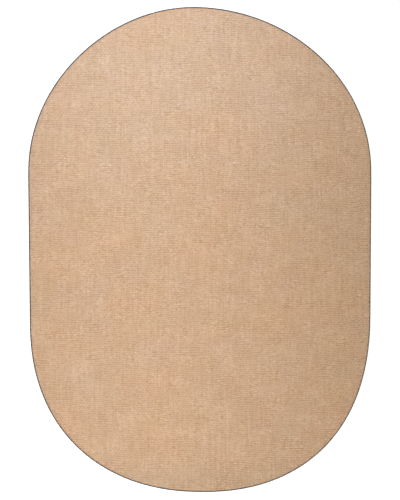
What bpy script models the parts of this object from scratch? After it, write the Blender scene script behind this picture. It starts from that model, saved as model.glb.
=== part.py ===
"""Oval tufted rug, lying flat: one pile body and the serged edge round it.

Run with: blender --background --python part.py
Metres. The floor is z = 0, +Y runs along the rug and +X across it, and the
middle of the rug's box stands over the origin.
"""

import math
from collections import namedtuple

import bmesh
import bpy

# The whole rug
WIDTH = 1.514
LENGTH = 2.141
THICKNESS = 0.012
PART_GAP = 0.0003

# The outline: an oval with almost straight sides, cut by hand. Each quarter
# runs from the side's shoulder to the tip of the end.
#   across, along  which side (+X or -X) and which end (+Y or -Y)
#   tip_x          where the end's tip lies across the rug
#   end_depth      how far the end's curve reaches back from the tip
#   side_x         how far out the side's shoulder lies
#   fullness       2 is an ellipse, and more is squarer at the corner
Quarter = namedtuple("Quarter", "across along tip_x end_depth side_x fullness")
QUARTERS = (
    Quarter(+1, +1, -0.033, 0.725, 0.757, 2.01),
    Quarter(-1, +1, -0.033, 0.721, 0.758, 1.95),
    Quarter(-1, -1, +0.012, 0.738, 0.751, 2.15),
    Quarter(+1, -1, +0.012, 0.762, 0.756, 2.17),
)
POINTS_PER_QUARTER = 24

# Where the hand cut strays outwards (+) or inwards (-), in metres, by the
# bearing from +X in degrees.
CutStray = namedtuple("CutStray", "bearing out")
CUT_STRAYS = (
    CutStray(0, 0.0),
    CutStray(30, -0.0004),
    CutStray(60, -0.0020),
    CutStray(90, 0.0),
    CutStray(120, -0.0050),
    CutStray(150, -0.0006),
    CutStray(180, 0.0),
    CutStray(210, -0.0016),
    CutStray(240, 0.0043),
    CutStray(270, 0.0),
    CutStray(300, 0.0067),
    CutStray(330, -0.0043),
)

# The serged edge: yarn oversewn round the rug's bare rim
YARN_UNDER = 0.0012
YARN_OVER = 0.0018
YARN_OUTSIDE = 0.0017
SERGE_TOP_WIDTH = 0.0058
SERGE_UNDER_WIDTH = 0.0086
SERGE_ROUNDING = 0.0014

# The rug body: the bare rim that the serging holds, and the pile inside it
RIM_THICKNESS = 0.0032
PILE_ROUNDING = 0.0040

ROUNDING_STEPS = 4
SHARP_ANGLE = math.radians(35)

PILE_COLOUR = (0.60, 0.40, 0.255, 1.0)
SERGE_COLOUR = (0.150, 0.125, 0.100, 1.0)


def clear_scene():
    for thing in list(bpy.data.objects):
        bpy.data.objects.remove(thing, do_unlink=True)


def cloth_material(name, colour, roughness):
    material = bpy.data.materials.new(name)
    material.use_nodes = True
    shader = material.node_tree.nodes["Principled BSDF"]
    shader.inputs["Base Color"].default_value = colour
    shader.inputs["Roughness"].default_value = roughness
    shader.inputs["Metallic"].default_value = 0.0
    material.diffuse_color = colour
    return material


def pile_material():
    return cloth_material("pile", PILE_COLOUR, 0.95)


def serging_material():
    return cloth_material("serging", SERGE_COLOUR, 0.85)


def quarter_points(quarter):
    """One quarter of the oval, from the side's shoulder to the end's tip."""
    reach_x = abs(quarter.across * quarter.side_x - quarter.tip_x)
    shoulder_y = quarter.along * (LENGTH / 2 - quarter.end_depth)
    points = []
    for step in range(POINTS_PER_QUARTER + 1):
        turn = math.pi / 2 * step / POINTS_PER_QUARTER
        outwards = math.cos(turn)
        endwards = math.sin(turn)
        power = quarter.fullness
        swell = (outwards**power + endwards**power) ** (-1 / power)
        x = quarter.tip_x + quarter.across * reach_x * outwards * swell
        y = shoulder_y + quarter.along * quarter.end_depth * endwards * swell
        points.append((x, y))
    return points


def cut_stray(x, y):
    """How far the hand cut strays outwards at a point of the outline."""
    spacing = 360 / len(CUT_STRAYS)
    place = math.degrees(math.atan2(y, x)) % 360 / spacing
    before = CUT_STRAYS[int(place) % len(CUT_STRAYS)]
    after = CUT_STRAYS[(int(place) + 1) % len(CUT_STRAYS)]
    ease = (1 - math.cos(math.pi * (place % 1))) / 2
    return before.out * (1 - ease) + after.out * ease


def moved_outwards(outline, distance_at):
    """The outline moved along its own normals, by distance_at(x, y)."""
    moved = []
    for index, (x, y) in enumerate(outline):
        back_x, back_y = outline[index - 1]
        on_x, on_y = outline[(index + 1) % len(outline)]
        in_angle = math.atan2(y - back_y, x - back_x)
        out_angle = math.atan2(on_y - y, on_x - x)
        half_turn = math.remainder(out_angle - in_angle, math.tau) / 2
        normal = in_angle + half_turn - math.pi / 2
        distance = distance_at(x, y) / math.cos(half_turn)
        moved.append((x + distance * math.cos(normal), y + distance * math.sin(normal)))
    return moved


def fitted(values, size):
    """Values moved and stretched so that they span size, centred on zero."""
    low = min(values)
    high = max(values)
    return [(value - (low + high) / 2) * size / (high - low) for value in values]


def rug_outline():
    """The rug's edge seen from above, anticlockwise, centred and to size."""
    oval = []
    for quarter in QUARTERS:
        curve = quarter_points(quarter)
        if quarter.across == quarter.along:
            # The next quarter starts at this one's tip.
            curve.pop()
        else:
            curve.reverse()
        oval += curve
    oval = moved_outwards(oval, cut_stray)
    across = fitted([x for x, y in oval], WIDTH)
    along = fitted([y for x, y in oval], LENGTH)
    return list(zip(across, along))


def rounded_corner(start, corner, end):
    """Section points that round a square corner, from start to end."""
    points = []
    for step in range(ROUNDING_STEPS + 1):
        turn = math.pi / 2 * step / ROUNDING_STEPS
        towards_start = 1 - math.sin(turn)
        towards_end = 1 - math.cos(turn)
        inset = corner[0] + (start[0] - corner[0]) * towards_start + (end[0] - corner[0]) * towards_end
        height = corner[1] + (start[1] - corner[1]) * towards_start + (end[1] - corner[1]) * towards_end
        points.append((inset, height))
    return points


def body_section():
    """(inset, height) of the rug body, from under its middle to its top."""
    rim_bottom = YARN_UNDER + PART_GAP
    rim_top = rim_bottom + RIM_THICKNESS
    rim_end = YARN_OUTSIDE + PART_GAP
    foot = SERGE_UNDER_WIDTH + PART_GAP
    pile_side = SERGE_TOP_WIDTH + PART_GAP
    shoulder = rounded_corner(
        (pile_side, THICKNESS - PILE_ROUNDING),
        (pile_side, THICKNESS),
        (pile_side + PILE_ROUNDING, THICKNESS),
    )
    return [
        (foot, 0.0),
        (foot, rim_bottom),
        (rim_end, rim_bottom),
        (rim_end, rim_top),
        (pile_side, rim_top),
        *shoulder,
    ]


def serging_section():
    """(inset, height) round the serged edge, a C that holds the rug's rim."""
    slot_bottom = YARN_UNDER
    slot_top = YARN_UNDER + RIM_THICKNESS + 2 * PART_GAP
    top = slot_top + YARN_OVER
    lower_corner = rounded_corner(
        (SERGE_ROUNDING, 0.0),
        (0.0, 0.0),
        (0.0, SERGE_ROUNDING),
    )
    upper_corner = rounded_corner(
        (0.0, top - SERGE_ROUNDING),
        (0.0, top),
        (SERGE_ROUNDING, top),
    )
    return [
        (SERGE_UNDER_WIDTH, slot_bottom),
        (SERGE_UNDER_WIDTH, 0.0),
        *lower_corner,
        *upper_corner,
        (SERGE_TOP_WIDTH, top),
        (SERGE_TOP_WIDTH, slot_top),
        (YARN_OUTSIDE, slot_top),
        (YARN_OUTSIDE, slot_bottom),
    ]


def swept_round(name, outline, section, closed_section, material):
    """A solid made by carrying a section round the outline.

    An open section is closed with a flat face at its first and last rings.
    """
    shape = bmesh.new()
    rings = []
    for inset, height in section:
        ring = moved_outwards(outline, lambda x, y: -inset)
        rings.append([shape.verts.new((x, y, height)) for x, y in ring])
    pairs = list(zip(rings, rings[1:]))
    if closed_section:
        pairs.append((rings[-1], rings[0]))
    else:
        shape.faces.new(list(reversed(rings[0])))
        shape.faces.new(rings[-1])
    for lower, upper in pairs:
        for index in range(len(outline)):
            after = (index + 1) % len(outline)
            shape.faces.new((lower[index], lower[after], upper[after], upper[index]))
    bmesh.ops.recalc_face_normals(shape, faces=shape.faces)
    mesh = bpy.data.meshes.new(name)
    shape.to_mesh(mesh)
    shape.free()
    mesh.materials.append(material)
    mesh.shade_smooth()
    mesh.set_sharp_from_angle(angle=SHARP_ANGLE)
    solid = bpy.data.objects.new(name, mesh)
    bpy.context.collection.objects.link(solid)
    return solid


def rug_body(outline):
    return swept_round("rug_body", outline, body_section(), False, pile_material())


def serged_edge(outline):
    return swept_round("serged_edge", outline, serging_section(), True, serging_material())


def main():
    clear_scene()
    outline = rug_outline()
    rug_body(outline)
    serged_edge(outline)


main()
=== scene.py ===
"""The looks of the oval looped rug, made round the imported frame.

Metres, +Z up. The floor is z = 0, the rug lies along Y, and the rows of its
pile run along X.
"""

import math

import bpy
import numpy as np
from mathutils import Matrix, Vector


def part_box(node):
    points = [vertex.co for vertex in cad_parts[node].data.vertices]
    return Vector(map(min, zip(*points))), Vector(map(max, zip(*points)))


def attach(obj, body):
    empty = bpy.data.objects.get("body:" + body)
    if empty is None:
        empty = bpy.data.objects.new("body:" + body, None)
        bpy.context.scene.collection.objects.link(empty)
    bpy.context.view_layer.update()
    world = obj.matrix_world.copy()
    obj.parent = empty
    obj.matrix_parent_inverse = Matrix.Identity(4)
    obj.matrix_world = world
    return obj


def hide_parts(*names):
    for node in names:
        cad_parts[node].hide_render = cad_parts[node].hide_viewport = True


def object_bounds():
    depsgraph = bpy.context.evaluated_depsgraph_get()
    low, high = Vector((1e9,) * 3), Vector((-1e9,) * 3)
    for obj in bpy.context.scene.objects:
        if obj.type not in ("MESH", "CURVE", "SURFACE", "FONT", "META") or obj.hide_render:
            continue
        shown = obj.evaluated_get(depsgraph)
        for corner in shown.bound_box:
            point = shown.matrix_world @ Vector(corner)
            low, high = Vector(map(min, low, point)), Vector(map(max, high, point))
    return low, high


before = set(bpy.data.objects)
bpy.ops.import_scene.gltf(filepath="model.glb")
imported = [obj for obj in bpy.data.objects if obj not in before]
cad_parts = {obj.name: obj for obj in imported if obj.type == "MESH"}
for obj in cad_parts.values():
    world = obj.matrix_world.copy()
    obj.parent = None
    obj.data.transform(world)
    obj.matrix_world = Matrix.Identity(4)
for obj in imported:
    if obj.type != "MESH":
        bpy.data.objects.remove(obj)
CAD_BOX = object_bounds()

# The outline, read from the frame and rounded where the frame is faceted
OUTLINE_STEP = 0.008
OUTLINE_SMOOTHING = 16
SAME_HEIGHT = 0.00002

# The backing cloth that the loops stand in. Its bare rim lies in the serging.
RIM_UNDER = 0.0015
RIM_OVER = 0.0047
RIM_INSET = 0.0020
FOOT_INSET = 0.0089
LOOP_FLOOR = 0.0086
LOOP_FLOOR_INSET = 0.0066
LOOP_FLOOR_ROUNDING = 0.0012
CAP_RINGS = 5
BACKING_WARP_PITCH = 0.0032
BACKING_WEFT_PITCH = 0.0042

# The loops, in brick-laid rows along X
ROW_PITCH = 0.0092
LOOP_SPACING = 0.0142
BRICK_SHIFT = 0.5
LOOP_LENGTH = 0.0225
LOOP_WIDTH = 0.0120
LOOP_HEIGHT = 0.0037
LOOP_ROOT = 0.0080
PILE_BANDS = 5
PILE_SEED = 40
SEEDS_A_BAND = 10

# One loop, in shares of its half length, half width and height
LOOP_SIDES = 8
LOOP_RINGS = 4
SHOULDER_FULLNESS = 0.20
SHOULDER_REACH = 0.1
UNDERSIDE = -0.01
CREASE_ANGLE = math.radians(100)

# How far rows wander aside, in pitches, and how often they do so in a metre
ROW_SWAY = 1.5
ROW_SWAYS_ALONG = 7.0
ROW_SWAYS_ACROSS = 8.0

# How unevenly loops stand, either way: in spacings, then pitches, then radians
ROW_LATENESS = 0.04
LOOP_STRAY = 0.15
LOOP_ASIDE = 0.12
LOOP_TURN = 0.03
LOOP_DIP = 0.05

# How uneven the loops' own sizes are, as shares of the stated ones
LOOP_LENGTHS = (0.80, 1.25)
LOOP_WIDTHS = (0.92, 1.10)
LOOP_HEIGHTS = (0.94, 1.06)

# Where the last loops stand, in from the outline, and how near to it their
# ends and their sides may come
EDGE_LOOP_INSET = 0.0095
LOOP_END_INSET = 0.0043
LOOP_SIDE_INSET = 0.0064
END_SHARE_OF_ROOM = 0.7

# There the loops are lower and lean out over the serging, and the nap lays
# them over towards the right
EDGE_LEAN = 0.12
EDGE_LEAN_REACH = 0.008
EDGE_LOWERING = 0.25
NAP = (0.0007, -0.0002, 0.0)

# A loop's ends and sides always face the edge at least this much
LEAST_FACING = (0.1, 0.1, 0.1)

# The serging: turns of yarn over the rim, on a bed of the same yarn
SERGING_TOP = 0.0068
SERGING_ROUNDING = 0.0014
SERGING_OVER = 0.0060
SERGING_UNDER = 0.0084
CORNER_STEPS = 2
BED_DEPTH = 0.0008
TURN_PITCH = 0.0034
TURN_YARN_WIDTH = 0.0038
TURN_YARN_DEPTH = 0.0018
TURN_SLANT = 0.0016
TURN_SIDES = 5
TURN_TILT = 0.10
TURN_REACHES = (0.94, 1.06)
TURN_SEED = 7

# How fast the plies wind along and across a yarn, and from one to the next
LOOP_TWIST = (1000.0, 1100.0, 0.0)
TURN_TWIST = (1300.0, 1100.0, 0.0)
PLY_SHIFT = 9.0

# How far each thing lightens or darkens the pile's yarn
LOOP_TONE = 0.130
CLOUD_TONE = 0.025
STREAK_TONE = 0.05
WARP_TONE = 0.070
FIBRE_TONE = 0.05
# Painted shade: the pile's yarn is darkened towards the foot of each loop, where shade falls between
# the loops, less so at the pile's edge, and lightened a little at each tip
ROOT_PAINTED_SHADE = 0.82
EDGE_ROOT_PAINTED_SHADE = 0.94
TIP_PAINTED_LIGHT = 1.015

# A loop's tone is partly its own, and mostly shared with the loops beside it
OWN_TONE = 0.4
OWN_TONE_POWER = 3.0
SHARED_TONE = 1.3
SHARED_TONE_WAVES_A_METRE = 75.0
SHARED_TONE_WAVES_A_ROW = 3.7

# Where the pile is ruffled its tones part further, and it is a little paler
RUFFLED = 1.6
SMOOTHED = 0.4
RUFFLED_TONE = 0.05

# Painted shade: the near end of the rug is painted a little darker and duller
NEAR_END_FROM = -0.93
NEAR_END_TO = -1.00
NEAR_END_PAINTED_SHADE = 0.45

# How fine each mark in the pile is, in waves to the metre
CLOUD_WAVES = 5.0
SUNLIGHT_WAVES = 4.0
DYE_WAVES = 9.0
RUFFLE_WAVES = 12.0
STREAK_WAVES = (90.0, 3.0, 1.0)
WARP_WAVES = (160.0, 10.0, 1.0)
PILE_FIBRE_WAVES = (700.0, 1500.0, 1500.0)

# Patches of one kind stand apart from those of another
RUFFLES_MOVED = (1.3, 4.1, 0.0)
DYE_MOVED = (3.1, 1.7, 0.0)
SUNLIGHT_MOVED = (7.3, 5.9, 0.0)

# The lowest and highest value that a noise is taken to have
NARROW = (0.3, 0.7)
MEDIUM = (0.25, 0.75)
WIDE = (0.2, 0.8)

# Where the yarn is darker, by its own tone and by the painted shade low on its loops, it loses less red
# than green, and more blue
DEPTH_TINT = (0.73, 1.0, 1.35)
YELLOWER_YARN = (0.606, 0.394, 0.235, 1.0)
PINKER_YARN = (0.614, 0.389, 0.255, 1.0)
FADED_YARN = (0.50, 0.43, 0.33, 1.0)
FADING = 0.20
NEAR_END_SHADE_YARN = (0.50, 0.345, 0.225, 1.0)
PILE_ROUGHNESS = (0.62, 0.80)

# Each bump's strength, and its height in metres
PILE_PLY_BUMP = (0.5, 0.0006)
PILE_FIBRE_BUMP = (0.5, 0.0004)
WEAVE_BUMP = (0.6, 0.0006)
GRIT_BUMP = (0.3, 0.0003)
SERGING_PLY_BUMP = (0.6, 0.0006)
SERGING_FIBRE_BUMP = (0.6, 0.0004)

# The back of the cloth
BACKING_COLOUR = (0.50, 0.42, 0.32)
BACKING_CLOUD_WAVES = 9.0
GRIT_WAVES = 900.0
WEAVE_TONES = (0.82, 1.04)
BACKING_CLOUD_TONE = 0.06
GRIT_TONE = 0.03
BACKING_ROUGHNESS = (0.75, 0.92)

# The serging's yarn, which is paler where feet rub its top, and painted paler on the right and darker
# on the left as painted light and shade
SERGING_COLOUR = (0.078, 0.066, 0.056)
SERGING_PAINTED_SIDE_LIGHT = 1.15
SERGING_PAINTED_LIGHT_SPAN = 0.7
SERGING_WORN_ABOVE = 0.0050
SERGING_WEAR = 1.12
TURN_TONE = 0.18
SERGING_CLOUD_WAVES = 14.0
SERGING_CLOUD_TONE = 0.10
SERGING_FIBRE_WAVES = (1400.0, 1400.0, 500.0)
SERGING_FIBRE_TONE = 0.15
# Painted shade in the grooves between the serging yarn's plies, and a little painted light on their
# tops
PLY_GROOVE_PAINTED_SHADE = -0.15
PLY_TOP_PAINTED_LIGHT = 0.03
PLY_GROOVE_TO = 0.5
SERGING_ROUGHNESS = (0.60, 0.82)

# The studio
FLOOR_SIZE = 60.0
FLOOR_DROP = 0.0004
LENS_MM = 85.0
SENSOR_MM = 36.0
FRAME_LENGTH = 2.207
CAMERA_ASIDE = (0.0014, -0.0024)
WHITE_LIGHT = (1.0, 1.0, 1.0)
WARM_LIGHT = (1.0, 0.90, 0.55)
COOL_LIGHT = (0.39, 0.63, 1.0)


# --- node trees -------------------------------------------------------------


def feed(tree, socket, value):
    """Links a socket to another one, or sets its value."""
    if isinstance(value, bpy.types.NodeSocket):
        tree.links.new(value, socket)
    elif value is not None:
        socket.default_value = value


def add(tree, kind, inputs=None, **settings):
    """A new node, with its settings and its inputs by name or number."""
    made = tree.nodes.new(kind)
    for name, value in settings.items():
        setattr(made, name, value)
    for key, value in (inputs or {}).items():
        feed(tree, made.inputs[key], value)
    return made


def maths(tree, operation, *values):
    """What one sum gives."""
    inputs = dict(enumerate(values))
    return add(tree, "ShaderNodeMath", inputs, operation=operation).outputs[0]


def vector_maths(tree, operation, *values):
    """What one sum on vectors gives: a vector, or a number from a dot product."""
    made = add(tree, "ShaderNodeVectorMath", dict(enumerate(values)), operation=operation)
    return made.outputs["Value" if operation == "DOT_PRODUCT" else "Vector"]


def scaled(tree, vector, factor):
    """A vector or colour, made longer or brighter."""
    made = add(tree, "ShaderNodeVectorMath", {"Vector": vector, "Scale": factor}, operation="SCALE")
    return made.outputs["Vector"]


def vector(tree, x, y, z):
    """A vector from its three parts."""
    return add(tree, "ShaderNodeCombineXYZ", {"X": x, "Y": y, "Z": z}).outputs[0]


def split(tree, value):
    """A vector's three parts."""
    return add(tree, "ShaderNodeSeparateXYZ", {0: value}).outputs


def noise(tree, place, waves, detail=2.0, roughness=0.5):
    """Fractal noise about 0.5, with this many waves to the metre."""
    inputs = {"Vector": place, "Scale": waves, "Detail": detail, "Roughness": roughness}
    if isinstance(waves, tuple):
        inputs["Vector"] = vector_maths(tree, "MULTIPLY", place, waves)
        inputs["Scale"] = 1.0
    return add(tree, "ShaderNodeTexNoise", inputs, noise_dimensions="3D").outputs[0]


def ranged(tree, value, low, high, to_low, to_high, smooth=False):
    """A value moved from one range to another, and held inside it."""
    inputs = {"Value": value, "From Min": low, "From Max": high, "To Min": to_low, "To Max": to_high}
    kind = "SMOOTHSTEP" if smooth else "LINEAR"
    return add(tree, "ShaderNodeMapRange", inputs, interpolation_type=kind).outputs["Result"]


def either_way(tree, value, span, amount):
    """A noise as a change of up to an amount, down or up."""
    return ranged(tree, value, *span, -amount, amount)


# --- materials --------------------------------------------------------------


def mixed(tree, share, first, second):
    """A colour between two others."""
    inputs = {"Factor": share, 6: first, 7: second}
    return add(tree, "ShaderNodeMix", inputs, data_type="RGBA").outputs[2]


def new_material(name):
    """A named material, its tree and its shader."""
    material = bpy.data.materials.new(name)
    material.use_nodes = True
    tree = material.node_tree
    return material, tree, tree.nodes["Principled BSDF"]


def object_place(tree):
    """Where each point is, in metres on the rug."""
    return add(tree, "ShaderNodeTexCoord").outputs["Object"]


def attribute(tree, name, output="Fac"):
    """What the piece's points carry under a name."""
    return add(tree, "ShaderNodeAttribute", attribute_name=name).outputs[output]


def bump(tree, height, amount, under=None):
    """A normal that makes a height stand out, over another normal."""
    strength, distance = amount
    inputs = {"Height": height, "Strength": strength, "Distance": distance, "Normal": under}
    return add(tree, "ShaderNodeBump", inputs).outputs["Normal"]


def plies(tree, yarn_place, twist, own_tone):
    """A twisted yarn's plies: 0 in the grooves between them, 1 on their tops."""
    wound = vector_maths(tree, "DOT_PRODUCT", yarn_place, twist)
    wound = maths(tree, "MULTIPLY_ADD", own_tone, PLY_SHIFT, wound)
    return maths(tree, "ABSOLUTE", maths(tree, "SINE", wound))


def pile_tone(tree, place, loop_tone, fibre):
    """How light the pile's yarn is: its loops, wear, streaks, fibres and the painted shade low on each
    loop.
    """
    height = split(tree, place)[2]
    edge = attribute(tree, "edge_nearness")
    clouds = noise(tree, place, CLOUD_WAVES, detail=3.0, roughness=0.6)
    streaks = noise(tree, place, STREAK_WAVES)
    warp_marks = noise(tree, place, WARP_WAVES, detail=1.0)
    ruffles = noise(tree, vector_maths(tree, "ADD", place, RUFFLES_MOVED), RUFFLE_WAVES, detail=1.0)

    ruffled = ranged(tree, ruffles, *NARROW, SMOOTHED, RUFFLED)
    tone = maths(tree, "MULTIPLY_ADD", loop_tone, maths(tree, "MULTIPLY", ruffled, LOOP_TONE), 1.0)
    tone = maths(tree, "MULTIPLY_ADD", maths(tree, "SUBTRACT", ruffled, 1.0), RUFFLED_TONE, tone)
    tone = maths(tree, "ADD", tone, either_way(tree, clouds, NARROW, CLOUD_TONE))
    tone = maths(tree, "ADD", tone, either_way(tree, warp_marks, MEDIUM, WARP_TONE))
    tone = maths(tree, "ADD", tone, either_way(tree, streaks, MEDIUM, STREAK_TONE))

    # Painted shade: darker low on each loop and a little lighter at its tip, less so at the edge,
    # deeper where the pile is ruffled
    root_shade = ranged(tree, height, LOOP_ROOT, LOOP_ROOT + LOOP_HEIGHT, ROOT_PAINTED_SHADE, TIP_PAINTED_LIGHT, smooth=True)
    root_shade = maths(tree, "MAXIMUM", root_shade, maths(tree, "MULTIPLY", edge, EDGE_ROOT_PAINTED_SHADE))
    root_shade = maths(tree, "MULTIPLY_ADD", maths(tree, "SUBTRACT", root_shade, 1.0), ruffled, 1.0)
    tone = maths(tree, "MULTIPLY", tone, root_shade)
    return maths(tree, "ADD", tone, either_way(tree, fibre, WIDE, FIBRE_TONE))


def pile_colour(tree, place):
    """Unevenly dyed yarn, bleached in patches, with painted shade that makes it darker and duller at
    the near end.
    """
    endways = split(tree, place)[1]
    dye = noise(tree, vector_maths(tree, "ADD", place, DYE_MOVED), DYE_WAVES, detail=3.0, roughness=0.6)
    yarn = mixed(tree, ranged(tree, dye, *MEDIUM, 0.0, 1.0), YELLOWER_YARN, PINKER_YARN)
    sunlit = vector_maths(tree, "ADD", place, SUNLIGHT_MOVED)
    sunlight = noise(tree, sunlit, SUNLIGHT_WAVES, detail=3.0, roughness=0.6)
    yarn = mixed(tree, ranged(tree, sunlight, *NARROW, 0.0, FADING), yarn, FADED_YARN)
    # Painted shade: the yarn turns darker and duller towards the near end
    painted_near_end_shade = ranged(tree, endways, NEAR_END_FROM, NEAR_END_TO, 0.0, NEAR_END_PAINTED_SHADE)
    return mixed(tree, painted_near_end_shade, yarn, NEAR_END_SHADE_YARN)


def looped_pile_material():
    """Spun yarn in loops, each in its own tone, with painted shade that leaves them darker and browner
    low down than on their pale tops.
    """
    material, tree, shader = new_material("looped_pile_yarn")
    place = object_place(tree)
    loop_tone = attribute(tree, "loop_tone")
    fibre = noise(tree, place, PILE_FIBRE_WAVES, roughness=0.7)
    tone = pile_tone(tree, place, loop_tone, fibre)
    depth = scaled(tree, DEPTH_TINT, maths(tree, "SUBTRACT", tone, 1.0))
    tint = vector_maths(tree, "ADD", depth, (1.0, 1.0, 1.0))
    colour = vector_maths(tree, "MULTIPLY", pile_colour(tree, place), tint)
    feed(tree, shader.inputs["Base Color"], colour)
    feed(tree, shader.inputs["Roughness"], ranged(tree, fibre, *WIDE, *PILE_ROUGHNESS))

    loop_reach = attribute(tree, "loop_reach", "Vector")
    yarn_place = vector_maths(tree, "MULTIPLY", attribute(tree, "yarn_place", "Vector"), loop_reach)
    normal = bump(tree, plies(tree, yarn_place, LOOP_TWIST, loop_tone), PILE_PLY_BUMP)
    feed(tree, shader.inputs["Normal"], bump(tree, fibre, PILE_FIBRE_BUMP, under=normal))
    shader.inputs["Specular IOR Level"].default_value = 0.35
    shader.inputs["Sheen Weight"].default_value = 0.15
    shader.inputs["Sheen Roughness"].default_value = 0.5
    return material


def backing_cloth_material():
    """The plain woven back of the rug, with latex rubbed into its weave."""
    material, tree, shader = new_material("backing_cloth")
    place = object_place(tree)
    x, y, _ = split(tree, place)
    warp = maths(tree, "SINE", maths(tree, "MULTIPLY", x, 2 * math.pi / BACKING_WARP_PITCH))
    weft = maths(tree, "SINE", maths(tree, "MULTIPLY", y, 2 * math.pi / BACKING_WEFT_PITCH))
    weave = maths(tree, "MULTIPLY", warp, weft)
    clouds = noise(tree, place, BACKING_CLOUD_WAVES, detail=4.0, roughness=0.6)
    grit = noise(tree, place, GRIT_WAVES)
    tone = ranged(tree, weave, -1.0, 1.0, *WEAVE_TONES)
    tone = maths(tree, "ADD", tone, either_way(tree, clouds, NARROW, BACKING_CLOUD_TONE))
    tone = maths(tree, "ADD", tone, either_way(tree, grit, NARROW, GRIT_TONE))
    feed(tree, shader.inputs["Base Color"], scaled(tree, BACKING_COLOUR, tone))
    feed(tree, shader.inputs["Roughness"], ranged(tree, grit, *NARROW, *BACKING_ROUGHNESS))
    normal = bump(tree, weave, WEAVE_BUMP)
    feed(tree, shader.inputs["Normal"], bump(tree, grit, GRIT_BUMP, under=normal))
    shader.inputs["Specular IOR Level"].default_value = 0.3
    return material


def serging_yarn_material():
    """Dark grey-brown yarn, twisted from plies that show as slanting ridges."""
    material, tree, shader = new_material("serging_yarn")
    place = object_place(tree)
    sideways, _, height = split(tree, place)
    turn_tone = attribute(tree, "turn_tone")
    ridges = plies(tree, attribute(tree, "yarn_place", "Vector"), TURN_TWIST, turn_tone)
    clouds = noise(tree, place, SERGING_CLOUD_WAVES, detail=3.0, roughness=0.6)
    fibre = noise(tree, place, SERGING_FIBRE_WAVES, roughness=0.7)
    tone = maths(tree, "MULTIPLY_ADD", turn_tone, TURN_TONE, 1.0)
    tone = maths(tree, "ADD", tone, either_way(tree, clouds, NARROW, SERGING_CLOUD_TONE))
    tone = maths(tree, "ADD", tone, either_way(tree, fibre, WIDE, SERGING_FIBRE_TONE))
    # Painted shade in the grooves between the plies, painted light on their tops
    grooves = ranged(tree, ridges, 0.0, PLY_GROOVE_TO, PLY_GROOVE_PAINTED_SHADE, PLY_TOP_PAINTED_LIGHT, smooth=True)
    tone = maths(tree, "ADD", tone, grooves)
    worn = ranged(tree, height, SERGING_WORN_ABOVE, SERGING_TOP, 1.0, SERGING_WEAR, smooth=True)
    # Painted light and shade: the serging is paler towards the right and darker towards the left
    painted_side_light = ranged(tree, sideways, -SERGING_PAINTED_LIGHT_SPAN, SERGING_PAINTED_LIGHT_SPAN, 1.0, SERGING_PAINTED_SIDE_LIGHT)
    tone = maths(tree, "MULTIPLY", tone, painted_side_light)
    colour = scaled(tree, SERGING_COLOUR, maths(tree, "MULTIPLY", tone, worn))
    feed(tree, shader.inputs["Base Color"], colour)
    feed(tree, shader.inputs["Roughness"], ranged(tree, fibre, *WIDE, *SERGING_ROUGHNESS))
    normal = bump(tree, ridges, SERGING_PLY_BUMP)
    feed(tree, shader.inputs["Normal"], bump(tree, fibre, SERGING_FIBRE_BUMP, under=normal))
    shader.inputs["Specular IOR Level"].default_value = 0.4
    shader.inputs["Sheen Weight"].default_value = 0.2
    return material


def floor_material():
    """A pale floor that glows a little, so that the rug's surround is white."""
    material, _, shader = new_material("pale_floor")
    shader.inputs["Base Color"].default_value = (0.90, 0.90, 0.90, 1.0)
    shader.inputs["Roughness"].default_value = 0.9
    shader.inputs["Specular IOR Level"].default_value = 0.0
    shader.inputs["Emission Color"].default_value = (1.0, 1.0, 1.0, 1.0)
    shader.inputs["Emission Strength"].default_value = 0.35
    return material


# --- the outline ------------------------------------------------------------


def spaced(points, step):
    """A closed line's points, set again at equal steps along it."""
    closed = np.vstack([points, points[:1]])
    runs = np.hypot(*np.diff(closed, axis=0).T)
    along = np.concatenate([[0.0], np.cumsum(runs)])
    places = np.linspace(0.0, along[-1], round(along[-1] / step), endpoint=False)
    return np.column_stack([np.interp(places, along, closed[:, axis]) for axis in (0, 1)])


def inset_by(points, distance):
    """A closed, anticlockwise, evenly spaced line moved inwards."""
    ahead = np.roll(points, -1, axis=0) - np.roll(points, 1, axis=0)
    ahead /= np.hypot(*ahead.T)[:, None]
    inwards = np.column_stack([-ahead[:, 1], ahead[:, 0]])
    return points + inwards * distance


def rug_outline():
    """The rug's edge from above, from the ring of the frame's flat top."""
    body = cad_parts["rug_body"]
    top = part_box("rug_body")[1].z
    corners = np.array([vertex.co for vertex in body.data.vertices])
    ring = corners[np.abs(corners[:, 2] - top) < SAME_HEIGHT][:, :2]
    ring = np.unique(ring.round(6), axis=0)
    ring = ring[np.argsort(np.arctan2(ring[:, 1], ring[:, 0]))]
    line = spaced(ring, OUTLINE_STEP)
    for _ in range(OUTLINE_SMOOTHING):
        line = (np.roll(line, 1, axis=0) + 2 * line + np.roll(line, -1, axis=0)) / 4
    ring_inset = (CAD_BOX[1].x - CAD_BOX[0].x - np.ptp(line[:, 0])) / 2
    return spaced(inset_by(line, -ring_inset), OUTLINE_STEP)


# --- meshes -----------------------------------------------------------------


def plain_mesh(name, corners, faces, materials, slots=None):
    """A smooth mesh, whose faces take their materials by slot."""
    mesh = bpy.data.meshes.new(name)
    mesh.from_pydata([tuple(corner) for corner in corners], [], faces)
    for material in materials:
        mesh.materials.append(material)
    if slots is not None:
        mesh.polygons.foreach_set("material_index", slots)
    mesh.shade_smooth()
    mesh.update()
    return mesh


def placed(name, mesh):
    """A mesh put in the scene, at the origin."""
    thing = bpy.data.objects.new(name, mesh)
    bpy.context.scene.collection.objects.link(thing)
    return thing


def between(lower, upper, count):
    """Faces that join two rings of corners, by their first corners."""
    faces = []
    for index in range(count):
        after = (index + 1) % count
        faces.append((lower + index, lower + after, upper + after, upper + index))
    return faces


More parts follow.
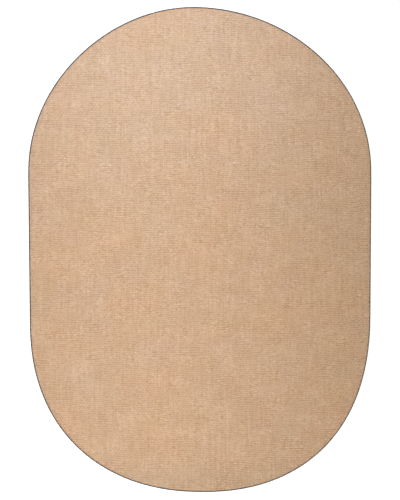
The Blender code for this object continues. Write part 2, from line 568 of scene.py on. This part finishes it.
def map_from_above(thing):
    """Lays the piece's map out flat, as seen from above, to fill the square."""
    mesh = thing.data
    corners = np.empty(len(mesh.vertices) * 3, np.float32)
    mesh.vertices.foreach_get("co", corners)
    corners = corners.reshape(-1, 3)[:, :2]
    low = corners.min(axis=0)
    flat = (corners - low) / (corners.max(axis=0) - low)
    owners = np.empty(len(mesh.loops), np.int32)
    mesh.loops.foreach_get("vertex_index", owners)
    layer = mesh.uv_layers.new(name="OFBake", do_init=False)
    layer.uv.foreach_set("vector", flat[owners].ravel())


# --- the backing cloth ------------------------------------------------------


def backing_section():
    """(inset, height) from under the rug's middle out round the rim and up."""
    return [
        (FOOT_INSET, 0.0),
        (FOOT_INSET, RIM_UNDER),
        (RIM_INSET, RIM_UNDER),
        (RIM_INSET, RIM_OVER),
        (LOOP_FLOOR_INSET, RIM_OVER),
        (LOOP_FLOOR_INSET, LOOP_FLOOR - LOOP_FLOOR_ROUNDING),
        (LOOP_FLOOR_INSET + LOOP_FLOOR_ROUNDING, LOOP_FLOOR),
    ]


def rug_backing(outline, pile_yarn, backing_cloth):
    """The one cloth of the rug: a closed slab whose caps are rings."""
    count = len(outline)
    shares = np.linspace(1.0, 0.0, CAP_RINGS, endpoint=False)[1:]
    section = backing_section()
    under = inset_by(outline, section[0][0])
    over = inset_by(outline, section[-1][0])
    rings = [(under * share, 0.0) for share in reversed(shares)]
    rings += [(inset_by(outline, inset), height) for inset, height in section]
    rings += [(over * share, LOOP_FLOOR) for share in shares]
    corners = [(x, y, height) for ring, height in rings for x, y in ring]
    faces = []
    for number in range(len(rings) - 1):
        faces += between(number * count, (number + 1) * count, count)
    bottom = len(corners)
    corners += [(0.0, 0.0, 0.0), (0.0, 0.0, LOOP_FLOOR)]
    last = (len(rings) - 1) * count
    for index in range(count):
        after = (index + 1) % count
        faces.append((bottom, after, index))
        faces.append((last + index, last + after, bottom + 1))
    heights = np.array([np.mean([corners[corner][2] for corner in face]) for face in faces])
    slots = (heights < RIM_UNDER).astype(np.int32)
    mesh = plain_mesh("rug_backing", corners, faces, [pile_yarn, backing_cloth], slots)
    return placed("rug_backing", mesh)


# --- geometry nodes ---------------------------------------------------------


def new_node_tool(name, sizes):
    """A Geometry Nodes tree with a geometry input and named sizes."""
    tree = bpy.data.node_groups.new(name, "GeometryNodeTree")
    face = tree.interface
    face.new_socket("Geometry", in_out="INPUT", socket_type="NodeSocketGeometry")
    for label, kind in sizes:
        face.new_socket(label, in_out="INPUT", socket_type="NodeSocket" + kind)
    face.new_socket("Geometry", in_out="OUTPUT", socket_type="NodeSocketGeometry")
    given = tree.nodes.new("NodeGroupInput").outputs
    return tree, given


def end_with(tree, geometry, material):
    """Real geometry of one material, smooth but for its sharpest edges."""
    real = add(tree, "GeometryNodeRealizeInstances", {"Geometry": geometry})
    smooth = add(tree, "GeometryNodeSetShadeSmooth", {"Geometry": real.outputs[0]})
    bend = add(tree, "GeometryNodeInputMeshEdgeAngle").outputs["Unsigned Angle"]
    gentle = maths(tree, "LESS_THAN", bend, CREASE_ANGLE)
    inputs = {"Geometry": smooth.outputs[0], "Shade Smooth": gentle}
    creased = add(tree, "GeometryNodeSetShadeSmooth", inputs, domain="EDGE")
    inputs = {"Geometry": creased.outputs[0], "Material": material}
    finish = add(tree, "GeometryNodeSetMaterial", inputs)
    out = tree.nodes.new("NodeGroupOutput")
    tree.links.new(finish.outputs[0], out.inputs[0])


def made_with(name, mesh, tree, values):
    """The plain mesh object that a tree makes from a mesh."""
    worked = placed(name, mesh)
    modifier = worked.modifiers.new("maker", "NODES")
    modifier.node_group = tree
    for item in tree.interface.items_tree:
        if item.in_out == "INPUT" and item.name in values:
            modifier[item.identifier] = values[item.name]
    shown = bpy.context.evaluated_depsgraph_get()
    finished = bpy.data.meshes.new_from_object(worked.evaluated_get(shown))
    bpy.data.objects.remove(worked)
    if finished.materials[0] is None:
        finished.materials.pop(index=0)
    finished.name = name
    return placed(name, finished)


def position(tree):
    """Where each point is at this stage of the tree."""
    return add(tree, "GeometryNodeInputPosition").outputs[0]


def moved_points(tree, geometry, **how):
    """Geometry with its points at a Position, or moved by an Offset."""
    return add(tree, "GeometryNodeSetPosition", {"Geometry": geometry, **how}).outputs[0]


def without(tree, geometry, selection):
    """Geometry with its selected points taken out."""
    inputs = {"Geometry": geometry, "Selection": selection}
    return add(tree, "GeometryNodeDeleteGeometry", inputs, domain="POINT").outputs[0]


def stored(tree, geometry, name, kind, value):
    """Geometry whose points carry an attribute for a material."""
    inputs = {"Geometry": geometry, "Name": name, "Value": value}
    made = add(tree, "GeometryNodeStoreNamedAttribute", inputs, data_type=kind, domain="POINT")
    return made.outputs[0]


def captured(tree, geometry, values):
    """Geometry, and the values that its points have before any are taken out."""
    made = tree.nodes.new("GeometryNodeCaptureAttribute")
    for name in values:
        made.capture_items.new("FLOAT", name)
    feed(tree, made.inputs["Geometry"], geometry)
    for name, value in values.items():
        feed(tree, made.inputs[name], value)
    return made.outputs["Geometry"], [made.outputs[name] for name in values]


def turned_again(tree, rotation, x, y, z):
    """A rotation with a small one of its own before it."""
    inputs = {"Rotation": rotation, "Rotate By": vector(tree, x, y, z)}
    return add(tree, "FunctionNodeRotateRotation", inputs, rotation_space="LOCAL").outputs[0]


def drawn(tree, seed, low, high, key=None):
    """A number drawn for each point, or for each key."""
    if key is None:
        key = add(tree, "GeometryNodeInputIndex").outputs[0]
    made = add(tree, "FunctionNodeRandomValue", data_type="FLOAT")
    feed(tree, made.inputs[2], low)
    feed(tree, made.inputs[3], high)
    feed(tree, made.inputs["ID"], key)
    feed(tree, made.inputs["Seed"], seed)
    return made.outputs[1]


# --- the pile ---------------------------------------------------------------

LOOP_SIZES = (
    ("Row Pitch", "Float"),
    ("Loop Spacing", "Float"),
    ("Loop Length", "Float"),
    ("Loop Width", "Float"),
    ("Loop Height", "Float"),
    ("Root Height", "Float"),
    ("First Row", "Float"),
    ("Rows", "Int"),
    ("Loops In Row", "Int"),
    ("Edge Margin", "Float"),
    ("End Room", "Float"),
    ("Side Room", "Float"),
    ("Edge Lean", "Float"),
    ("Lean Reach", "Float"),
    ("Nap", "Vector"),
    ("Sway", "Float"),
    ("Sways Along", "Float"),
    ("Sways Across", "Float"),
    ("Seed", "Int"),
    ("Yarn", "Material"),
)

# What is drawn at random for the loops, each from the band's next seed
LOOP_DRAWS = ("lateness", "stray", "aside", "tone", "turn", "length", "width", "height", "dip")


def loop_draw(tree, given, what, low, high, key=None):
    """One of LOOP_DRAWS, drawn from its own seed."""
    seed = maths(tree, "ADD", given["Seed"], LOOP_DRAWS.index(what))
    return drawn(tree, seed, low, high, key)


def one_loop(tree):
    """The upper half of a pill that lies along X, closed by a flat underside."""
    inputs = {"Segments": LOOP_SIDES, "Rings": LOOP_RINGS, "Radius": 1.0}
    ball = add(tree, "GeometryNodeMeshUVSphere", inputs).outputs["Mesh"]
    x, y, z = split(tree, position(tree))
    shoulder_place = math.cos(math.pi / LOOP_RINGS)
    shoulder = maths(tree, "COMPARE", maths(tree, "ABSOLUTE", z), shoulder_place, SHOULDER_REACH)
    fuller = maths(tree, "MULTIPLY_ADD", shoulder, SHOULDER_FULLNESS, 1.0)
    lying = vector(tree, z, maths(tree, "MULTIPLY", x, fuller), maths(tree, "MULTIPLY", y, fuller))
    pill = moved_points(tree, ball, Position=lying)
    place = position(tree)
    top = without(tree, pill, maths(tree, "LESS_THAN", split(tree, place)[2], UNDERSIDE))
    closed = add(tree, "GeometryNodeConvexHull", {"Geometry": top}).outputs[0]
    return stored(tree, closed, "yarn_place", "FLOAT_VECTOR", place)


def row_sway(tree, given, x, y):
    """How far a row wanders aside at a place, in pitches."""
    along = maths(tree, "MULTIPLY", x, given["Sways Along"])
    across = maths(tree, "MULTIPLY", y, given["Sways Across"])
    wander = noise(tree, vector(tree, along, across, 0.0), 1.0, detail=1.0)
    back = maths(tree, "MULTIPLY", given["Sway"], -1.0)
    return ranged(tree, wander, 0.0, 1.0, back, given["Sway"])


def points_in_rows(tree, given):
    """Points in rows that wander, every other row half a loop along.

    With them come each point's row, its X and the slope of its row there.
    """
    pitch = given["Row Pitch"]
    spacing = given["Loop Spacing"]
    in_row = given["Loops In Row"]
    count = maths(tree, "MULTIPLY", given["Rows"], in_row)
    inputs = {"Count": count, "Offset": (0.0, 0.0, 0.0)}
    points = add(tree, "GeometryNodeMeshLine", inputs).outputs[0]
    number = add(tree, "GeometryNodeInputIndex").outputs[0]
    row = maths(tree, "FLOOR", maths(tree, "DIVIDE", maths(tree, "ADD", number, 0.5), in_row))
    column = maths(tree, "SUBTRACT", number, maths(tree, "MULTIPLY", row, in_row))

    late = loop_draw(tree, given, "lateness", -ROW_LATENESS, ROW_LATENESS, key=row)
    odd = maths(tree, "FLOORED_MODULO", row, 2.0)
    shift = maths(tree, "MULTIPLY_ADD", odd, BRICK_SHIFT, late)
    stray = loop_draw(tree, given, "stray", -LOOP_STRAY, LOOP_STRAY)
    along = maths(tree, "ADD", column, maths(tree, "ADD", shift, stray))
    middle = maths(tree, "MULTIPLY", in_row, 0.5)
    x = maths(tree, "MULTIPLY", maths(tree, "SUBTRACT", along, middle), spacing)

    y = maths(tree, "MULTIPLY_ADD", row, pitch, given["First Row"])
    sway = row_sway(tree, given, x, y)
    sway_ahead = row_sway(tree, given, maths(tree, "ADD", x, spacing), y)
    rise = maths(tree, "MULTIPLY", maths(tree, "SUBTRACT", sway_ahead, sway), pitch)
    slope = maths(tree, "DIVIDE", rise, spacing)
    aside = loop_draw(tree, given, "aside", -LOOP_ASIDE, LOOP_ASIDE)
    y = maths(tree, "MULTIPLY_ADD", maths(tree, "ADD", aside, sway), pitch, y)
    points = moved_points(tree, points, Position=vector(tree, x, y, 0.0))
    return captured(tree, points, {"Row": row, "Along": x, "Slope": slope})


def over_face(tree, given, points):
    """Only the points that stand over the face that comes in."""
    inputs = {
        "Target Geometry": given["Geometry"],
        "Source Position": vector_maths(tree, "ADD", position(tree), (0.0, 0.0, 1.0)),
        "Ray Direction": (0.0, 0.0, -1.0),
        "Ray Length": 2.0,
    }
    below = add(tree, "GeometryNodeRaycast", inputs).outputs["Is Hit"]
    return without(tree, points, maths(tree, "SUBTRACT", 1.0, below))


def kept_off_serging(tree, given, points):
    """Points that would stand on the serging, pushed in beside it.

    With them come the way inwards and how far past the margin each one is.
    """
    place = position(tree)
    inputs = {0: given["Geometry"], "Sample Position": place}
    edge = add(tree, "GeometryNodeProximity", inputs, target_element="EDGES")
    inwards = vector_maths(tree, "SUBTRACT", place, edge.outputs[0])
    inwards = vector_maths(tree, "NORMALIZE", inwards)
    clear = maths(tree, "SUBTRACT", edge.outputs["Distance"], given["Edge Margin"])
    short = maths(tree, "SUBTRACT", given["Edge Margin"], edge.outputs["Distance"])
    push = scaled(tree, inwards, maths(tree, "MAXIMUM", short, 0.0))
    return moved_points(tree, points, Offset=push), inwards, clear


def other_side(tree, longest, side):
    """The third side of a triangle with a right angle."""
    longest_squared = maths(tree, "POWER", longest, 2.0)
    side_squared = maths(tree, "POWER", side, 2.0)
    left = maths(tree, "SUBTRACT", longest_squared, side_squared)
    return maths(tree, "SQRT", maths(tree, "MAXIMUM", left, 0.0))


def loop_halves(tree, given, inwards, clear):
    """Half a loop's length and width, cut down to its room at the edge."""
    longer = loop_draw(tree, given, "length", *LOOP_LENGTHS)
    wider = loop_draw(tree, given, "width", *LOOP_WIDTHS)
    half_length = maths(tree, "MULTIPLY", maths(tree, "MULTIPLY", given["Loop Length"], 0.5), longer)
    half_width = maths(tree, "MULTIPLY", maths(tree, "MULTIPLY", given["Loop Width"], 0.5), wider)

    facing = vector_maths(tree, "MAXIMUM", vector_maths(tree, "ABSOLUTE", inwards), LEAST_FACING)
    endways, sideways, _ = split(tree, facing)
    room = ranged(tree, endways, 0.0, 1.0, given["Side Room"], given["End Room"])
    against_nap = vector_maths(tree, "DOT_PRODUCT", inwards, given["Nap"])
    room = maths(tree, "SUBTRACT", room, against_nap)
    room = maths(tree, "ADD", room, maths(tree, "MAXIMUM", clear, 0.0))

    end_reach = maths(tree, "MULTIPLY", half_length, endways)
    end_reach = maths(tree, "MINIMUM", end_reach, maths(tree, "MULTIPLY", room, END_SHARE_OF_ROOM))
    side_room = maths(tree, "DIVIDE", other_side(tree, room, end_reach), sideways)
    half_width = maths(tree, "MINIMUM", half_width, side_room)
    side_reach = maths(tree, "MULTIPLY", half_width, sideways)
    end_room = maths(tree, "DIVIDE", other_side(tree, room, side_reach), endways)
    half_length = maths(tree, "MINIMUM", half_length, end_room)
    return half_length, half_width


def tone_of_loop(tree, given, row, x):
    """Each loop's tone: its own, and what it shares with the loops beside it."""
    own = maths(tree, "POWER", loop_draw(tree, given, "tone", -1.0, 1.0), OWN_TONE_POWER)
    along = maths(tree, "MULTIPLY", x, SHARED_TONE_WAVES_A_METRE)
    across = maths(tree, "MULTIPLY", row, SHARED_TONE_WAVES_A_ROW)
    beside = noise(tree, vector(tree, along, across, 0.0), 1.0, detail=1.0)
    shared = either_way(tree, beside, (0.0, 1.0), SHARED_TONE)
    return maths(tree, "MULTIPLY_ADD", own, OWN_TONE, shared)


def loop_stance(tree, given, slope, inwards, edge):
    """How a loop turns with its row, leans out at the pile's edge and dips."""
    turn = maths(tree, "ADD", slope, loop_draw(tree, given, "turn", -LOOP_TURN, LOOP_TURN))
    outwards = maths(tree, "MULTIPLY", given["Edge Lean"], -1.0)
    lean = scaled(tree, inwards, maths(tree, "MULTIPLY", edge, outwards))
    upright = vector_maths(tree, "ADD", lean, (0.0, 0.0, 1.0))
    inputs = {"Rotation": vector(tree, 0.0, 0.0, turn), "Vector": upright}
    turned = add(tree, "FunctionNodeAlignRotationToVector", inputs, axis="Z").outputs[0]
    dip = loop_draw(tree, given, "dip", -LOOP_DIP, LOOP_DIP)
    return turned_again(tree, turned, 0.0, dip, 0.0)


def pile_rows_tool():
    """Rows of loops over the face that comes in, squeezed in at its edge."""
    tree, given = new_node_tool("pile_rows", LOOP_SIZES)
    points, (row, x, slope) = points_in_rows(tree, given)
    points = over_face(tree, given, points)
    points, inwards, clear = kept_off_serging(tree, given, points)
    leaning = maths(tree, "DIVIDE", clear, given["Lean Reach"])
    edge = ranged(tree, leaning, 0.0, 1.0, 1.0, 0.0, smooth=True)
    half_length, half_width = loop_halves(tree, given, inwards, clear)
    loop_reach = vector(tree, half_length, half_width, 0.0)
    points = stored(tree, points, "edge_nearness", "FLOAT", edge)
    points = stored(tree, points, "loop_tone", "FLOAT", tone_of_loop(tree, given, row, x))
    points = stored(tree, points, "loop_reach", "FLOAT_VECTOR", loop_reach)

    taller = loop_draw(tree, given, "height", *LOOP_HEIGHTS)
    height = maths(tree, "MULTIPLY", given["Loop Height"], taller)
    height = maths(tree, "MULTIPLY", height, maths(tree, "MULTIPLY_ADD", edge, -EDGE_LOWERING, 1.0))
    inputs = {
        "Points": points,
        "Instance": one_loop(tree),
        "Rotation": loop_stance(tree, given, slope, inwards, edge),
        "Scale": vector(tree, half_length, half_width, height),
    }
    loops = add(tree, "GeometryNodeInstanceOnPoints", inputs).outputs[0]
    root = vector(tree, 0.0, 0.0, given["Root Height"])
    inputs = {"Instances": loops, "Translation": root, "Local Space": False}
    raised = add(tree, "GeometryNodeTranslateInstances", inputs).outputs[0]
    end_with(tree, raised, given["Yarn"])
    return tree


def pile_bands(outline, yarn):
    """The pile, in bands of whole rows across the rug."""
    face_line = inset_by(outline, EDGE_LOOP_INSET - ROW_PITCH)
    low = face_line.min(axis=0)
    high = face_line.max(axis=0)
    corners = [(x, y, 0.0) for x, y in face_line]
    tool = pile_rows_tool()
    rows = math.ceil((high[1] - low[1]) / ROW_PITCH)
    in_row = math.ceil((high[0] - low[0]) / LOOP_SPACING) + 2
    even_rows = [number * rows // PILE_BANDS // 2 * 2 for number in range(PILE_BANDS)]
    sizes = {
        "Row Pitch": ROW_PITCH,
        "Loop Spacing": LOOP_SPACING,
        "Loop Length": LOOP_LENGTH,
        "Loop Width": LOOP_WIDTH,
        "Loop Height": LOOP_HEIGHT,
        "Root Height": LOOP_ROOT,
        "Loops In Row": in_row,
        "Edge Margin": ROW_PITCH,
        "End Room": EDGE_LOOP_INSET - LOOP_END_INSET,
        "Side Room": EDGE_LOOP_INSET - LOOP_SIDE_INSET,
        "Edge Lean": EDGE_LEAN,
        "Lean Reach": EDGE_LEAN_REACH,
        "Nap": NAP,
        "Sway": ROW_SWAY,
        "Sways Along": ROW_SWAYS_ALONG,
        "Sways Across": ROW_SWAYS_ACROSS,
        "Yarn": yarn,
    }
    bands = []
    for number, (first, last) in enumerate(zip(even_rows, [*even_rows[1:], rows])):
        name = f"looped_pile_{number + 1}"
        face = plain_mesh(name, corners, [tuple(range(len(corners)))], [yarn])
        sizes["First Row"] = float(low[1]) + (first + 0.5) * ROW_PITCH
        sizes["Rows"] = last - first
        sizes["Seed"] = PILE_SEED + SEEDS_A_BAND * number
        band = made_with(name, face, tool, sizes)
        map_from_above(band)
        bands.append(band)
    return bands


# --- the serging ------------------------------------------------------------

SERGING_SIZES = (
    ("Turn Pitch", "Float"),
    ("Turn", "Object"),
    ("Seed", "Int"),
    ("Yarn", "Material"),
)


def serging_path(depth):
    """(inset, height) of a line that lies depth inside the serging's skin."""
    bend = SERGING_ROUNDING + depth / 2
    low = depth
    high = SERGING_TOP - depth
    turns = [math.pi / 2 * step / CORNER_STEPS for step in range(CORNER_STEPS + 1)]
    path = [(SERGING_OVER, high)]
    for turn in turns:
        path.append((depth + bend * (1 - math.sin(turn)), high - bend * (1 - math.cos(turn))))
    for turn in turns:
        path.append((depth + bend * (1 - math.cos(turn)), low + bend * (1 - math.sin(turn))))
    path.append((SERGING_UNDER, low))
    return path


def yarn_turn_mesh(yarn):
    """One turn of yarn: X along the edge, Y inwards, Z up."""
    path = np.array(serging_path(TURN_YARN_DEPTH / 2))
    ahead = np.gradient(path, axis=0)
    ahead /= np.hypot(*ahead.T)[:, None]
    outwards = np.column_stack([-ahead[:, 1], ahead[:, 0]])
    if outwards[0, 1] < 0:
        outwards = -outwards
    lags = np.linspace(0.5, -0.5, len(path)) * TURN_SLANT
    runs = np.concatenate([[0.0], np.cumsum(np.hypot(*np.diff(path, axis=0).T))])
    corners = []
    yarn_places = []
    for (inset, height), (out_y, out_z), lag, run in zip(path, outwards, lags, runs):
        for side in range(TURN_SIDES):
            angle = 2 * math.pi * side / TURN_SIDES
            across = math.sin(angle) * TURN_YARN_WIDTH / 2
            out = math.cos(angle) * TURN_YARN_DEPTH / 2
            corners.append((across + lag, inset + out * out_y, height + out * out_z))
            yarn_places.append((across, run, 0.0))
    faces = []
    for number in range(len(path) - 1):
        faces += between((number + 1) * TURN_SIDES, number * TURN_SIDES, TURN_SIDES)
    faces.append(tuple(range(TURN_SIDES)))
    last = (len(path) - 1) * TURN_SIDES
    faces.append(tuple(reversed(range(last, last + TURN_SIDES))))
    turn = plain_mesh("yarn_turn", corners, faces, [yarn])
    carried = turn.attributes.new("yarn_place", "FLOAT_VECTOR", "POINT")
    carried.data.foreach_set("vector", np.ravel(yarn_places))
    return turn


def yarn_turns_tool():
    """Turns of yarn along the closed line that comes in."""
    tree, given = new_node_tool("yarn_turns", SERGING_SIZES)
    seed = given["Seed"]
    curve = add(tree, "GeometryNodeMeshToCurve", {"Mesh": given["Geometry"]}).outputs[0]
    inputs = {"Curve": curve, "Length": given["Turn Pitch"]}
    even = add(tree, "GeometryNodeCurveToPoints", inputs, mode="LENGTH")
    inputs = {"Vector": even.outputs["Tangent"]}
    along = add(tree, "FunctionNodeAlignRotationToVector", inputs, axis="X", pivot_axis="Z")
    tilt = drawn(tree, seed, -TURN_TILT, TURN_TILT)
    tone = drawn(tree, maths(tree, "ADD", seed, 1), -1.0, 1.0)
    reach = drawn(tree, maths(tree, "ADD", seed, 2), *TURN_REACHES)
    inputs = {
        "Points": stored(tree, even.outputs["Points"], "turn_tone", "FLOAT", tone),
        "Instance": add(tree, "GeometryNodeObjectInfo", {"Object": given["Turn"]}).outputs["Geometry"],
        "Rotation": turned_again(tree, along.outputs[0], 0.0, 0.0, tilt),
        "Scale": vector(tree, 1.0, reach, 1.0),
    }
    turns = add(tree, "GeometryNodeInstanceOnPoints", inputs).outputs[0]
    end_with(tree, turns, given["Yarn"])
    return tree


def yarn_turns(outline, yarn):
    """The turns of yarn that wrap the rug's rim."""
    model = placed("yarn_turn", yarn_turn_mesh(yarn))
    count = len(outline)
    line = bpy.data.meshes.new("serging_line")
    edges = [(index, (index + 1) % count) for index in range(count)]
    line.from_pydata([(x, y, 0.0) for x, y in outline], edges, [])
    values = {"Turn Pitch": TURN_PITCH, "Turn": model, "Seed": TURN_SEED, "Yarn": yarn}
    turns = made_with("serged_turns", line, yarn_turns_tool(), values)
    bpy.data.objects.remove(model)
    return turns


def serging_bed(outline, yarn):
    """The yarn that lies under the turns and closes the gaps between them."""
    path = serging_path(BED_DEPTH)
    path += [(SERGING_UNDER, RIM_UNDER), (RIM_INSET, RIM_UNDER)]
    path += [(RIM_INSET, RIM_OVER), (SERGING_OVER, RIM_OVER)]
    rings = [(inset_by(outline, inset), height) for inset, height in path]
    corners = [(x, y, height) for ring, height in rings for x, y in ring]
    count = len(outline)
    faces = []
    for number in range(len(rings)):
        after = (number + 1) % len(rings)
        faces += between(after * count, number * count, count)
    return placed("serging_bed", plain_mesh("serging_bed", corners, faces, [yarn]))


# --- the studio -------------------------------------------------------------


def pale_floor():
    """The floor, a hair below the rug so that the two don't flicker."""
    half = FLOOR_SIZE / 2
    corners = [(-half, -half, -FLOOR_DROP), (half, -half, -FLOOR_DROP)]
    corners += [(half, half, -FLOOR_DROP), (-half, half, -FLOOR_DROP)]
    mesh = plain_mesh("pale_floor", corners, [(0, 1, 2, 3)], [floor_material()])
    floor = placed("pale_floor", mesh)


def softbox(name, place, size, watts, colour=WHITE_LIGHT, tip=0.0, spread=180.0):
    """A soft light that faces down, tipped about X, and isn't seen itself."""
    lamp = bpy.data.lights.new(name, "AREA")
    lamp.shape = "RECTANGLE"
    lamp.size, lamp.size_y = size
    lamp.energy = watts
    lamp.color = colour
    lamp.spread = math.radians(spread)
    light = bpy.data.objects.new(name, lamp)
    bpy.context.scene.collection.objects.link(light)
    light.location = place
    light.rotation_euler = (tip, 0.0, 0.0)
    light.visible_camera = False


def studio_lights():
    """A long key on the left, a warm fill on the right and a cool one far off."""
    softbox("long_softbox", (-0.4, 0.0, 2.6), size=(1.0, 6.0), watts=38.6, spread=90.0)
    softbox("warm_softbox", (1.0, 0.0, 1.2), size=(0.6, 6.0), watts=7.9, colour=WARM_LIGHT)
    softbox("cool_softbox", (-0.15, 0.9, 0.8), size=(1.4, 0.3), watts=3.3, colour=COOL_LIGHT, tip=0.3)
    world = bpy.data.worlds.new("studio")
    world.use_nodes = True
    sky = world.node_tree.nodes["Background"]
    sky.inputs["Color"].default_value = (1.0, 1.0, 1.0, 1.0)
    sky.inputs["Strength"].default_value = 0.30
    bpy.context.scene.world = world


def overhead_camera():
    """A camera straight above, whose frame is FRAME_LENGTH long on the floor."""
    lens = bpy.data.cameras.new("overhead_camera")
    lens.lens = LENS_MM
    lens.sensor_width = SENSOR_MM
    camera = bpy.data.objects.new("overhead_camera", lens)
    bpy.context.scene.collection.objects.link(camera)
    camera.location = (*CAMERA_ASIDE, FRAME_LENGTH * LENS_MM / SENSOR_MM)
    bpy.context.scene.camera = camera
    bpy.context.scene.view_settings.view_transform = "Standard"


# --- the rug ----------------------------------------------------------------


def build_rug():
    """Every piece of the rug, and what it stands for in the frame."""
    outline = rug_outline()
    pile_yarn = looped_pile_material()
    serging_yarn = serging_yarn_material()

    backing = rug_backing(outline, pile_yarn, backing_cloth_material())
    bands = pile_bands(outline, pile_yarn)
    for piece in (backing, *bands):
        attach(piece, "root")
        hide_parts("rug_body")

    turns = yarn_turns(outline, serging_yarn)
    bed = serging_bed(outline, serging_yarn)
    for piece in (turns, bed):
        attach(piece, "root")
        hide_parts("serged_edge")


build_rug()
pale_floor()
studio_lights()
overhead_camera()
